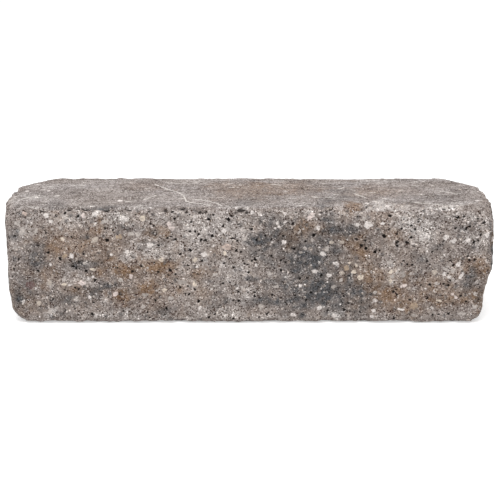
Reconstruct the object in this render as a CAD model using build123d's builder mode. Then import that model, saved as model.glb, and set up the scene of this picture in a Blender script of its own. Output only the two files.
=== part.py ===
"""Tumbled concrete kerb stone: one cast block whose arrises, corners and one end were worn in the tumbler.

Frame: X runs along the stone, -Y is its front (street) face, +Z is up,
and the origin is in the middle of its bed. Lengths are in millimetres.
"""

import os
from random import Random

from build123d import *

# Block as cast
length = 600.0
width = 150.0
height = 150.0

# Worn foot of the left end: below this height the end leans in towards the bed
left_wear_height = 42.0
left_wear_depth = 6.0

# Broken foot of the right end: a sloping lip, then a face that leans in down to the bed
break_height = 69.0
break_lip_height = 21.0
break_depth = 7.5
break_lean = 3.5
break_round = 14.0

# Worn head of the right end: above this height the end leans in towards the top
right_wear_height = 110.0
right_wear_depth = 4.0

# Rounds at the ends, seen from the front
end_top_round = 14.0
end_bed_round = 16.0

# Rounds along the edges of the front and back faces
front_arris_round = 9.0
back_arris_round = 10.0

# Bevels round the bed: each meets the bed this far inside its round
# and rises outwards by this share of its run
bed_margin = 0.8
bed_rise_share = 0.36

# Corner knocks: flat cuts that meet a corner's three edges at these shares of corner_knock.
# A corner is named by its sides along X, Y and Z.
corner_knock = 24.0
corner_knock_shares = {
    (-1, -1, -1): (0.90, 0.85, 0.85),
    (-1, -1, 1): (0.95, 0.90, 0.90),
    (-1, 1, -1): (0.90, 0.95, 1.00),
    (-1, 1, 1): (2.20, 2.10, 0.95),
    (1, -1, -1): (0.80, 0.80, 0.75),
    (1, -1, 1): (1.10, 1.00, 1.10),
    (1, 1, -1): (0.90, 0.90, 0.95),
    (1, 1, 1): (2.20, 2.40, 1.05),
}

# Worn stretches: long, shallow scoops, at these shares of an arris's run between its knocked corners.
# An arris is named by the outward way across it.
stretch_length = 120.0
stretch_depth = 4.5
stretch_place_shares = {
    (0, -1, 1): (0.78,),
    (0, 1, 1): (0.72,),
    (-1, 1, 0): (0.66,),
    (1, 1, 0): (0.40,),
}

# Flakes: small scoops, unevenly spaced along every arris above the bed
flake_spacing = 75.0
flake_radius = 34.0
flake_depth = 1.4
flake_radius_shares = (0.6, 1.3)
flake_depth_shares = (0.4, 1.3)
flake_shift_shares = (-0.32, 0.32)
flake_seed = 10

# Ends of the bed, once the left foot is worn and the right foot is broken
bed_left = -length / 2 + left_wear_depth
bed_right = length / 2 - break_depth - break_lean


def corner(side_x, side_y, side_z):
    """The sharp corner on the given sides of the block."""
    if side_z > 0:
        return Vector(side_x * length / 2, side_y * width / 2, height)
    return Vector(bed_left if side_x < 0 else bed_right, side_y * width / 2, 0)


def arris(start_sides, end_sides, worn_round):
    """Both ends, between its knocked corners, the outward way and the worn round of an arris."""
    start, end = corner(*start_sides), corner(*end_sides)
    knock = (end - start).normalized() * corner_knock
    outward = tuple((a + b) // 2 for a, b in zip(start_sides, end_sides))
    return start + knock, end - knock, outward, worn_round


def arrises():
    """The eight arrises above the bed."""
    for side_y, face_round in ((-1, front_arris_round), (1, back_arris_round)):
        yield arris((-1, side_y, 1), (1, side_y, 1), face_round)
        for side_x in (-1, 1):
            yield arris((side_x, side_y, -1), (side_x, side_y, 1), face_round)
    for side_x in (-1, 1):
        yield arris((side_x, -1, 1), (side_x, 1, 1), end_top_round)


def scoop(edge, place_share, radius, depth):
    """Centre and radius of a ball that cuts this deep into the round of an arris."""
    start, end, outward, worn_round = edge
    # Along its diagonal, the round lies this far inside the sharp arris
    inset = worn_round * (2**0.5 - 1)
    centre = start + (end - start) * place_share + Vector(*outward).normalized() * (radius - depth - inset)
    return centre, radius


def scoops():
    """The ball of every worn stretch and flake."""
    dice = Random(flake_seed)
    stretch_radius = (stretch_length**2 / 4 + stretch_depth**2) / (2 * stretch_depth)
    for edge in arrises():
        start, end, outward, worn_round = edge
        for place_share in stretch_place_shares.get(outward, ()):
            yield scoop(edge, place_share, stretch_radius, stretch_depth)
        count = max(1, round((end - start).length / flake_spacing))
        for step in range(count):
            place_share = (step + 0.5 + dice.uniform(*flake_shift_shares)) / count
            radius = flake_radius * dice.uniform(*flake_radius_shares)
            depth = flake_depth * dice.uniform(*flake_depth_shares)
            yield scoop(edge, place_share, radius, depth)


def bed_bevels():
    """The planes that cut the bevels round the bed."""
    for side_y, face_round in ((-1, front_arris_round), (1, back_arris_round)):
        edge_y = side_y * (width / 2 - face_round - bed_margin)
        yield Plane(origin=(0, edge_y, 0), z_dir=(0, side_y * bed_rise_share, -1))
    for side_x, bed_end in ((-1, bed_left), (1, bed_right)):
        edge_x = bed_end - side_x * (end_bed_round + bed_margin)
        yield Plane(origin=(edge_x, 0, 0), z_dir=(side_x * bed_rise_share, 0, -1))


def corner_knocks():
    """The planes that cut the corners."""
    for sides, shares in corner_knock_shares.items():
        reach = [corner_knock * share for share in shares]
        outward = Vector(*(side / cut for side, cut in zip(sides, reach)))
        on_edge = corner(*sides) - Vector(sides[0] * reach[0], 0, 0)
        yield Plane(origin=on_edge, z_dir=outward)


with BuildPart() as kerb_stone:
    # Front elevation, with the worn foot on the left, and the broken foot and worn head on the right
    with BuildSketch(Plane.XZ.offset(-width / 2)) as elevation:
        with BuildLine():
            Polyline(
                (bed_left, 0),
                (bed_right, 0),
                (length / 2 - break_depth, break_height - break_lip_height),
                (length / 2, break_height),
                (length / 2, right_wear_height),
                (length / 2 - right_wear_depth, height),
                (-length / 2, height),
                (-length / 2, left_wear_height),
                close=True,
            )
        make_face()
        foot, *sides, top = elevation.vertices().group_by(Axis.Y)
        fillet(foot, radius=end_bed_round)
        fillet(top, radius=end_top_round)
        fillet([vertex for level in sides for vertex in level], radius=break_round)
    extrude(amount=width)

    # Arrises worn round by tumbling
    fillet(kerb_stone.faces().sort_by(Axis.Y)[0].edges(), radius=front_arris_round)
    fillet(kerb_stone.faces().sort_by(Axis.Y)[-1].edges(), radius=back_arris_round)

    # Bevels round the bed and knocked corners
    for plane in (*bed_bevels(), *corner_knocks()):
        split(bisect_by=plane, keep=Keep.BOTTOM)

    # Worn stretches and flakes
    for centre, radius in scoops():
        with Locations(centre):
            Sphere(radius, mode=Mode.SUBTRACT)

kerb_stone.part.label = "kerb_stone"
os.makedirs("parts", exist_ok=True)
export_step(kerb_stone.part, "parts/kerb_stone.step")
print("kerb_stone: volume", round(kerb_stone.part.volume), "mm3,", len(kerb_stone.part.faces()), "faces")
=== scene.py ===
"""Looks of the tumbled concrete kerb stone.

One closed mesh stands for the block. Its points are spread over the six faces of the block's box,
with rings of points round every pit and pebble and rows of points along the drag lines of the top.
They are carried in to the surface of the solid and roughened there. Lengths are in metres, and
places read from the photograph are in pixels of its 500 x 500 frame.
"""

import math
import random

import bpy
import numpy as np
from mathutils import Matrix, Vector, noise
from mathutils.bvhtree import BVHTree
from mathutils.geometry import delaunay_2d_cdt

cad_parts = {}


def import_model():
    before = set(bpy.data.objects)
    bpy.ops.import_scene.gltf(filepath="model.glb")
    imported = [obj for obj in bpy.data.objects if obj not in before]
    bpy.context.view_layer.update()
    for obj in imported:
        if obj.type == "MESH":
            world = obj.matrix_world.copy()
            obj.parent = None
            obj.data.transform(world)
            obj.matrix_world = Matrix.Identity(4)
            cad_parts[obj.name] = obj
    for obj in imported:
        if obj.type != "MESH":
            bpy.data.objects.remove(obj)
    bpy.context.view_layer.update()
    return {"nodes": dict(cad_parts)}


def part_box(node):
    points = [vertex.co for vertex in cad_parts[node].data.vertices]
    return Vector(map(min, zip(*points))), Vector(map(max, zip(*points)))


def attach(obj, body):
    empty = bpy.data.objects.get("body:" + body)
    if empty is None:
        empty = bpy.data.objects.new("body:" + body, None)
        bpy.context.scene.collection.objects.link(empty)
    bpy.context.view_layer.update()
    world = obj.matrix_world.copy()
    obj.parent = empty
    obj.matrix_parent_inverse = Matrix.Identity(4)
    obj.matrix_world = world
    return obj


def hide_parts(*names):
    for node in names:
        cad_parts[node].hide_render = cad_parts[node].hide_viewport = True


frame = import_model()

# The block
node_name = "kerb_stone"
low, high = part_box(node_name)
middle = (low + high) / 2
length, width, height = high - low
solid = frame["nodes"][node_name].data
solid_tree = BVHTree.FromPolygons(
    [vertex.co for vertex in solid.vertices], [polygon.vertices for polygon in solid.polygons]
)

# Each face of the box: the axis across it, its side, and the two axes that run along it
faces = {
    "front": (1, -1, 0, 2),
    "back": (1, 1, 0, 2),
    "top": (2, 1, 0, 1),
    "bed": (2, -1, 0, 1),
    "left": (0, -1, 1, 2),
    "right": (0, 1, 1, 2),
}

# Surface points: their spacing along the edges that run each way, over each face and near the front arris,
# how unevenly they lie, and how far in the core is that they are carried towards
edge_pitches = (0.0015, 0.0029, 0.0029)
face_pitches = {
    "front": 0.0024, "back": 0.0031, "top": 0.0024, "bed": 0.0034, "left": 0.0029, "right": 0.0029
}
lip_pitch = 0.0014
lip_band = 0.012
ring_pitch = 0.00145
jitter_share = 0.28
core_inset = 0.030
core_low = low + Vector((core_inset,) * 3)
core_high = high - Vector((core_inset,) * 3)
face_seeds = {"front": 3, "back": 5, "top": 7, "bed": 11, "left": 13, "right": 17}
merge_distance = 1e-7
steps_per_metre = 1e6

# What a point carries after its place along the face: lift, pit (how much painted shade darkens it), pebble,
# drag and tint
no_tint = (0, 0, 0)
flat_point = (0, 0, 0, 0, *no_tint)

# Camera, as fitted to the photograph
photo_px = 500
focal_px = 1204.8
camera_distance = 1.553
camera_elevation = math.radians(18.23)
aim_drop = 0.0027
sensor_width = 36.0
camera_back = Vector((0, -math.cos(camera_elevation), math.sin(camera_elevation)))
camera_place = middle + camera_back * camera_distance
camera_aim = middle - Vector((0, 0, aim_drop))
camera_turn = (camera_aim - camera_place).to_track_quat("-Z", "Y")
metres_per_px = (camera_distance - width / 2) / focal_px

# Pebbles: tints, how often each turns up on a broken face, and sizes
pebble_tints = {
    "white": (0.80, 0.735, 0.70),
    "cream": (0.76, 0.655, 0.55),
    "pink": (0.78, 0.67, 0.63),
    "salmon": (0.62, 0.49, 0.43),
    "tan": (0.43, 0.325, 0.235),
    "buff": (0.54, 0.465, 0.40),
    "grey": (0.40, 0.355, 0.325),
    "chalk": (0.54, 0.485, 0.45),
    "maroon": (0.15, 0.092, 0.088),
}
pebble_tint_shares = {
    "white": 0.22, "cream": 0.12, "pink": 0.10, "tan": 0.05, "grey": 0.17, "chalk": 0.34
}
pebble_half = 0.0021
pebble_half_shares = (0.6, 1.7)
pebble_long_shares = (1.0, 1.55)
pebble_uneven_share = 0.14
pebble_proud = 0.0006
pebble_proud_shares = (0.3, 1.5)
pebble_groove = 0.0004
pebble_counts = {"front": 4, "back": 150, "top": 10, "bed": 50, "left": 38, "right": 38}
# Rings of a pebble: size, height and bareness as shares
pebble_ring_shares = ((0.45, 0.95, 1.0), (0.8, 0.65, 1.0), (1.0, 0.1, 0.6))
pebble_groove_share = 1.16
pebble_wobble_share = 0.06
groove_wobble_share = 0.03

# Pits: sizes and numbers; the rim lies outside the part painted black as shade, which is what the photograph
# shows
pit_half = 0.0009
pit_half_shares = (0.6, 2.1)
pit_long_shares = (1.0, 1.7)
pit_turns = (-0.6, 0.9)
pit_uneven_share = 0.16
pit_depth_share = 1.9
pit_floor_shares = (0.65, 0.95)
# How much painted shade the inner ring of a pit gets, as shares
pit_shade_shares = (0.7, 1.0)
pit_counts = {"front": 230, "back": 520, "top": 60, "bed": 180, "left": 125, "right": 125}
pit_inner_share = 0.72
pit_rim_share = 1.1
pit_wobble_share = 0.12
pit_patch = 0.055
pit_patch_chance = 0.55

# Pebbles and pits: the gap between them, the waves of their outlines and the fewest points of their rings
spot_gap = 0.0006
spot_waves = (2, 3, 4, 5)
fewest_pebble_points, fewest_pit_points, fewest_inner_points = 8, 9, 6

# Pebbles that stand out in the photograph, by tint: place, width and height in pixels, lean in degrees
marked_pebbles_px = {
    "white": (
        (367, 203, 4, 4, 0), (374, 201.2, 5, 4, 0), (388.5, 205.4, 4, 4, 0), (411.5, 201, 4, 4, 0),
        (424, 202.6, 5, 4, 0), (441, 207.8, 5, 3, 0), (477, 200.5, 4, 4, 0), (457, 205.6, 4, 3, 0),
        (150, 244.8, 7, 5, 0), (123.4, 219.6, 6, 7, 0), (129, 217, 5, 5, 0), (94.4, 214.5, 6, 5, 0),
        (98.6, 211.4, 3, 3, 0), (46, 215.5, 6, 5, 0), (51, 221.5, 4, 4, 0), (71.5, 256, 5, 5, 0),
        (204, 254.7, 6, 5, 0), (224, 231, 5, 4, 0), (279, 226.8, 3, 3, 0), (285, 222, 4, 2.6, -35),
        (277, 223.6, 2.4, 2.4, 0), (275.4, 228.4, 3, 2.4, 0),
        (318, 228.2, 3.6, 5, 0), (368, 225, 8, 7, 0), (357, 225, 5, 4, 0), (284, 242, 5, 4, -25),
        (323, 254, 7, 4, 50), (336, 263.5, 6, 4, 20), (315, 271.5, 6, 4, 0), (329, 275.5, 5, 4, 0),
        (375, 300.5, 5, 4, 0), (319.5, 308, 5, 5, 0), (293, 315, 6, 4, 0), (373.5, 310.8, 5, 4, 0),
        (372, 317, 5, 3.6, 0), (446, 237.5, 6, 5, 0), (454, 241, 5, 5, 0), (458.5, 264.5, 5, 5, 0),
        (488, 235, 6, 6, 0), (401, 309.5, 8, 2.4, 10), (89.5, 297, 4, 3, 0), (111.5, 254.5, 3, 3, 0),
        (50.5, 264.5, 3, 3, 0), (274.5, 225, 3, 3, 0), (282.5, 226.5, 4, 2, -30),
        (309.6, 210.8, 8, 2.6, -14), (300.5, 286, 3, 4, 25), (256, 265.5, 2.5, 3.5, 0),
        (461.5, 275.5, 9, 3, -55), (432, 308, 3, 3, 0), (200, 308, 5, 3, -50), (237, 288.5, 3, 3, 0),
        (197, 267, 3, 3, 0), (127, 252, 4, 4, 0), (444, 274.5, 3, 5, 0), (449, 276.8, 4, 3, 0),
        (252, 212.5, 4, 4, 0), (285, 213.5, 3.6, 3.6, 0), (76, 210.4, 6, 3, 0), (450, 210.6, 8, 4, 0),
        (334.5, 316, 6, 5, 0), (468, 240.6, 5, 4, 0), (88.5, 279, 3, 3, 0), (93, 277, 3, 3, 0),
        (70, 285, 5, 2, -20), (427.5, 236.5, 6, 4, 20),
    ),
    "cream": (
        (142.5, 218.4, 6, 6, 0), (62.5, 239, 4, 4, 0), (93, 269.5, 6, 3, 0), (164.5, 290, 5, 4, 0),
        (195, 260, 5, 5, 0), (225, 253.5, 4, 4, 0),
        (360.5, 277.5, 7, 5, 0), (354, 272, 5, 4, 0), (380.5, 302.5, 5, 4, 0), (64, 284.5, 6, 2.5, -10),
        (356.5, 265.5, 3, 3, 0), (439, 300.6, 6, 2.4, 8), (161, 260, 5, 4, 0), (391, 272, 5, 4, 0),
        (395.6, 269.8, 4, 3, -15), (390.5, 281, 4, 4, 0), (349.5, 263, 2.6, 3, 0),
    ),
    "pink": (
        (170.6, 226.6, 9.5, 5.5, 43), (83, 215.5, 4, 5, 0), (115.5, 294, 7, 4, -50), (82, 283, 7, 5, 0),
        (311, 216.2, 10, 4.5, -42), (403.5, 286, 7, 4, -25),
        (444.5, 303.5, 6, 6, -25), (452.5, 294.2, 4, 3, 30), (455.8, 297.6, 4, 3, 30),
        (131, 276.5, 4, 5, 0),
    ),
    "salmon": (
        (227, 247, 9, 6, 30), (24.5, 213.5, 6, 4, 30), (317.6, 214.6, 4.6, 3, 15),
    ),
    "tan": (
        (64.5, 256, 5, 5, 0), (119, 237, 6, 5, 0), (346.5, 268, 5, 6, 0), (414, 306, 8, 7, 0),
    ),
    "buff": (
        (331.5, 242.5, 5, 3.5, 0), (341.5, 242.5, 5, 3.5, 0), (94.5, 240, 8, 5, -30), (342, 273, 5, 4, 0),
        (434.5, 272.5, 6, 5, 0), (39, 303.5, 5, 5, 35), (50, 283, 4, 5, 0),
    ),
    "grey": (
        (145, 295, 7, 4, -10), (182, 282, 10, 5, 0), (151, 252, 7, 7, 0), (129, 252, 6, 6, 0),
        (330, 280, 6, 6, 0), (403, 274.5, 6, 6, 0), (416.5, 270, 3, 6, 0), (413.5, 315.5, 6, 4, 0),
    ),
    "chalk": (
        (381, 203.4, 5, 4, 0), (377.5, 206.4, 4, 3, 0), (417.5, 203.2, 5, 4, 0), (430.5, 204.6, 5, 4, 0),
        (436, 206.8, 4, 3, 0), (446.5, 206, 4, 4, 0), (415, 207.4, 4, 3, 0), (370.5, 208.4, 4, 3, 0),
        (17, 223.5, 6, 4, 0), (22.5, 232, 6, 9, 0), (64, 279, 4, 5, 0), (52, 224, 4, 4, 0),
        (120.5, 280, 5, 4, -20), (85, 263.5, 4, 4, 0), (269, 273.5, 4, 5, -30), (276.5, 286.5, 5, 3, -20),
        (341, 280, 3, 5, 25), (333.5, 287, 5, 4, -20), (261, 307, 5, 6, 0), (475.5, 294, 4, 5, -30),
        (475, 307, 6, 5, 0), (437, 283.5, 6, 3, 0), (375, 292.5, 5, 3, -20), (477, 282, 5, 3, -50),
        (390, 263, 5, 4, 0), (143, 307, 5, 4, 0), (171, 298, 6, 4, 0), (215, 275, 6, 3, -20),
        (188.5, 305, 4, 2.5, 0), (138, 234.5, 5, 5, 0), (131, 234, 6, 4, 0), (244.5, 231, 4, 4, 0),
        (244.5, 239, 5, 4, 0), (204.5, 232, 2.5, 6, 0), (392.5, 276.5, 4, 3.4, 0), (388, 277, 3, 4, 0),
        (452.5, 271, 3.4, 4, 0), (446, 269.4, 4, 3, 0), (327, 249, 4, 5.5, 0), (303, 211, 4, 3, 0),
        (36, 231, 3, 6, 25), (52, 229.2, 3.4, 2.6, 0), (60, 228, 3, 3, 0), (26, 218, 3, 6, 0),
        (22, 239, 4, 5, 0), (364, 219, 4, 4, 0), (312, 240, 3.4, 3.4, 0), (299, 232.5, 2.6, 4, 30),
        (305, 248.5, 5, 2.6, 30), (461.5, 314, 9, 4, 0), (340, 317.4, 4, 3, 0), (77, 299, 4, 5, 0),
        (474, 237, 4, 4, 0), (104, 222, 8, 4, -15), (411.5, 274, 4, 3, 0), (50, 312, 6, 4, 0),
        (57, 308, 5, 3, -30), (421, 233, 4, 4, 0), (432.5, 239.5, 5, 3, 0),
    ),
    "maroon": (
        (30.5, 285, 9, 8, 0),
    ),
}

# Pits that stand out in the photograph: place and width in pixels
marked_pits_px = (
    (15.9, 213, 3), (12.5, 213.3, 2.5), (8.2, 210, 3), (38, 246, 3), (48, 252.7, 4), (49.8, 210, 2.5),
    (65, 213, 3), (78, 216.4, 3), (107, 240.4, 4), (126.4, 232.2, 4), (46, 233, 2.5), (73, 266.4, 4),
    (86, 271, 3), (15, 236, 3), (53, 299.6, 2.5), (75, 308.8, 2.5), (123.5, 311, 2.5), (38, 271, 3),
    (149, 211.6, 2.5), (150.6, 224, 2.5), (153.7, 226, 2.5), (140, 238, 2.5), (155.5, 245, 2.5),
    (158.6, 245.6, 2.5), (141.4, 266.4, 2.5), (158.3, 272, 3), (172.5, 211.5, 3.5), (174.5, 219, 3),
    (177.5, 219.8, 3), (167.4, 238.2, 3), (171, 236.8, 3), (175.6, 239.4, 3), (180.2, 254.2, 3.5),
    (175.6, 274.4, 3), (180.2, 287.3, 2.5), (185.3, 293.5, 2.5), (188.9, 294.3, 3), (187.9, 265.4, 2.5),
    (190.4, 250.6, 4), (189.9, 231.5, 3), (191.4, 222, 3), (198.6, 234.6, 3), (203.2, 228.5, 3),
    (205.2, 240.4, 3.5), (212.3, 236.3, 3.5), (202.1, 261.1, 3), (195, 289.6, 3), (198.6, 301.3, 3.5),
    (213.4, 215, 3), (208.8, 219.5, 3.5), (189.5, 214.2, 2.5), (228.2, 219.5, 4), (231.2, 216.2, 3),
    (223, 226.1, 3), (224, 263.4, 3), (229.7, 258.8, 2.5), (240.9, 251.9, 3), (236.3, 250.6, 3),
    (233.8, 267.4, 2.5), (248.6, 272.6, 3), (244.5, 263.9, 2.5), (223, 283.6, 2.5), (219.5, 275.1, 3),
    (229.7, 282.8, 2.5), (248, 292.4, 2.5), (238.4, 291.9, 2.5), (208.8, 317.5, 3), (214.9, 314.4, 2.5),
    (251.6, 229.2, 3), (252, 261, 2.5), (271.4, 255.7, 2.5), (281, 260.3, 3), (285.2, 262.3, 3),
    (294.4, 249, 3), (313.8, 235.3, 4), (365.3, 240.4, 3), (366, 248.6, 3.5), (375, 252, 4),
    (379.7, 250.6, 2.5), (384.3, 236.3, 4), (374.6, 226, 3), (390, 215.4, 4), (401.6, 228.7, 3),
    (418.5, 222, 2.5), (397, 234.3, 2.5), (411.3, 237.6, 3), (397.3, 246, 3), (384.8, 263, 3.5),
    (403.7, 260.8, 2.5), (407.2, 264.4, 3), (412.3, 265, 3), (427.1, 261.3, 2.5), (450, 260.3, 2.5),
    (453.2, 265.4, 3), (469.5, 260.3, 3), (468, 256.2, 2.5), (474, 242.4, 4), (457.8, 217.4, 4),
    (484, 223, 4), (478, 219, 2.5), (480.5, 213.5, 2.5), (470, 226.6, 3), (455.7, 228.2, 3),
    (429.7, 284.8, 3.5), (443.5, 284, 2.5), (421, 285.3, 2.5), (393.5, 292, 3), (397, 295, 2.5),
    (409.8, 300, 3), (427.1, 298.6, 3), (448.6, 313.7, 3.5), (453.2, 303.2, 2.5), (460.8, 296, 3),
    (466, 301.6, 2.5), (371, 313.9, 3), (440, 245, 2.5), (269.5, 212, 2.5), (284.5, 211, 3),
    (256, 209.5, 2.5), (369.5, 207.8, 2.5), (487.5, 205.5, 2.5),
)

# Crevices under the lip of the skin, along the front arris, sunk and painted dark as shade:
# place, width and height in pixels, lean in degrees
marked_crevices_px = (
    (42, 211.4, 6, 2, 10), (69.7, 210.3, 5, 2, 0), (86, 209.6, 9, 1.8, 4), (107, 210.2, 6, 1.8, 0),
    (129.5, 210, 5, 2, 0), (165.5, 210.6, 4, 2.6, 0), (183, 208, 5, 2.4, -10), (186.5, 212, 5, 2.8, -25),
    (199.5, 212.3, 5, 3, -30), (205.5, 211.3, 5, 4, 0), (236, 212.2, 4, 3, -35), (242, 209.6, 8, 2, 0),
    (246.8, 212.3, 3, 3, 40), (321, 212.4, 4, 2.2, 0), (326.5, 211.6, 2.6, 2, 0),
    (330, 209.9, 4.6, 1.7, -18), (434.5, 207.5, 3, 2, 0), (444, 208.4, 5, 1.8, 10),
)
crevice_depth = 0.0013
crevice_edge_shares = (1.35, 0.5)
crevice_ragged_share = 0.6
# How much painted shade an open crevice gets, as a share
crevice_shade_share = 0.4

# Stains of the front and top, with painted shade among the dark ones and painted light among the pale ones:
# place, half width and half height in pixels, lean in degrees, strength as a share
brown_stains_px = (
    (85, 246, 52, 26, 0, 0.36), (93, 230, 10, 6, 0, 0.45), (52, 243, 12, 9, 0, 0.4),
    (55, 274, 9, 7, 0, 0.5), (122, 271, 14, 8, 0, 0.7), (162, 266, 22, 7, 0, 0.85),
    (201, 273, 21, 6, 4, 0.5), (147, 288, 12, 6, 0, 0.8), (123, 296, 11, 8, 0, 0.9),
    (163, 232, 8, 5, 0, 0.55), (152, 234, 7, 8, 0, 0.7), (28, 303, 14, 13, 0, 0.4),
    (150, 278, 45, 24, 0, 0.35), (288, 236, 14, 8, 0, 0.7), (304, 228, 13, 7, -15, 0.7),
    (323, 231, 9, 6, 0, 0.8), (293, 247, 9, 6, 0, 0.5), (358, 250, 14, 8, 38, 0.8),
    (343, 238, 13, 5, 0, 0.5), (374, 276, 26, 14, 0, 0.5), (388, 298, 34, 14, 0, 0.7),
    (456, 297, 28, 11, 0, 0.65), (472, 267, 16, 12, 0, 0.6), (394, 234, 11, 10, 0, 0.5),
    (303, 278, 8, 5, 0, 0.6), (354, 208, 9, 5, 0, 0.75), (240, 190, 34, 11, 0, 0.28),
    (287, 188, 40, 9, 0, 0.3), (140, 186, 24, 7, 0, 0.25), (385, 190, 40, 8, 0, 0.25),
    (205, 293, 14, 9, 0, 0.4), (178, 316, 8, 5, 0, 0.35), (432, 284, 16, 12, 0, 0.45),
    (233, 246, 7, 6, 0, 0.2), (245, 315, 30, 8, 0, 0.12), (412, 306, 20, 12, 0, 0.2),
    (26, 272, 8, 8, 0, 0.35), (100, 273, 12, 7, 0, 0.6), (137, 217, 12, 9, 0, 0.2),
    (155, 300, 22, 14, 0, 0.3), (350, 266, 8, 8, 0, 0.2), (483, 262, 7, 14, 0, 0.4),
    (478, 303, 8, 10, 0, 0.7), (346, 215, 10, 8, 0, 0.35), (362, 286, 8, 8, 0, 0.6),
    (360, 268, 40, 36, 0, 0.28), (75, 290, 26, 14, 0, 0.3), (300, 226, 40, 14, 0, 0.2),
    (384, 215, 20, 16, 0, 0.25), (482, 270, 8, 40, 0, 0.25), (215, 250, 14, 10, 0, 0.35),
    (262, 190, 60, 12, 0, 0.1), (360, 194, 30, 8, 0, 0.15), (96, 230, 5, 4, 0, 0.35),
    (62, 250, 22, 6, 0, 0.3), (94, 291, 13, 5, 0, 0.45), (15, 290, 8, 14, 0, 0.25),
)
# Dark stains, with painted shade among them: under the chips of the front arris, along its round, and at the
# broken foot of the right end
dark_stain_and_shade_px = (
    (316, 268, 56, 44, 0, 0.38), (264, 238, 9, 9, 0, 0.6), (251, 240, 12, 6, 0, 0.6),
    (305, 259, 24, 13, 10, 0.75), (318, 291, 36, 15, 0, 0.75), (340, 230, 18, 7, 0, 0.6),
    (338, 250, 8, 7, 0, 0.5), (264, 300, 22, 5, -4, 0.65), (252, 279, 13, 3.5, 0, 0.7),
    (354, 292, 9, 10, 0, 0.6), (161, 312, 12, 5, 0, 0.55), (77, 265, 13, 7, 0, 0.75),
    (95, 264, 12, 4, 0, 0.5), (39, 264, 9, 8, 0, 0.6), (14, 234, 9, 8, 0, 0.4), (86, 237, 7, 4, 0, 0.45),
    (107, 286, 14, 4, 0, 0.7), (422, 259, 9, 7, 0, 0.4), (436, 248, 9, 5, 0, 0.35),
    (470, 283, 9, 8, 0, 0.5), (345, 310, 26, 11, 0, 0.4), (26, 284, 18, 22, 0, 0.27),
    (270, 220, 12, 8, 0, 0.2), (331, 216, 18, 6, 0, 0.3), (190, 210, 12, 3, 0, 0.2),
    (98, 209.5, 18, 2, 0, 0.15), (382, 285, 10, 5, 0, 0.1), (440, 268, 10, 5, 0, 0.25),
    (36, 257, 14, 11, 0, 0.6), (20, 299, 8, 11, 0, 0.5), (57, 205, 12, 7, 0, 0.25),
    (70, 300, 16, 10, 0, 0.4), (94, 291, 14, 5, 0, 0.5), (127, 292, 8, 4, 0, 0.3),
    (278, 225, 16, 10, 0, 0.25), (361, 288, 11, 10, 0, 0.35), (310, 300, 30, 10, 0, 0.5),
    (277, 303, 10, 5, 0, 0.6), (366, 302, 14, 9, 0, 0.35), (462, 292, 10, 8, 0, 0.3),
    (472, 270, 6, 6, 0, 0.65), (480, 295, 6, 14, 0, 0.45), (350, 234, 22, 10, 0, 0.2),
    (154, 233, 5, 4, 0, 0.65), (324, 206, 8, 6, 0, 0.4), (245, 203, 18, 5, 0, 0.35),
    (285, 236, 30, 16, 0, 0.3), (340, 199, 18, 5, 0, 0.2), (440, 198, 22, 4, 0, 0.2),
    (100, 208, 70, 3, 0, 0.2), (325, 235, 20, 10, 0, 0.25), (462, 230, 10, 5, 0, 0.4),
    (208, 284, 14, 10, 0, 0.2), (338, 190, 14, 6, 0, 0.15), (262, 198, 40, 5, 0, 0.12),
    (65, 296, 22, 12, 0, 0.2), (208, 242, 10, 10, 0, 0.2), (258, 246, 14, 6, 0, 0.3),
    (30, 195, 40, 6, 0, 0.15), (75, 300, 22, 10, 0, 0.2), (288, 285, 12, 20, 0, 0.2),
    (335, 298, 34, 10, 0, 0.2), (210, 302, 12, 8, 0, 0.2), (338, 192, 12, 8, 0, 0.15),
    (15, 236, 4, 5, 40, 0.6), (22, 300, 7, 8, 0, 0.5), (78, 217, 2, 3, 0, 0.6),
    (104, 209.6, 7, 1.6, 0, 0.4), (90, 209.4, 8, 1.6, 0, 0.4), (55, 274, 8, 6, 0, 0.2),
    (62, 314, 20, 5, 0, 0.3),
)
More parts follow.
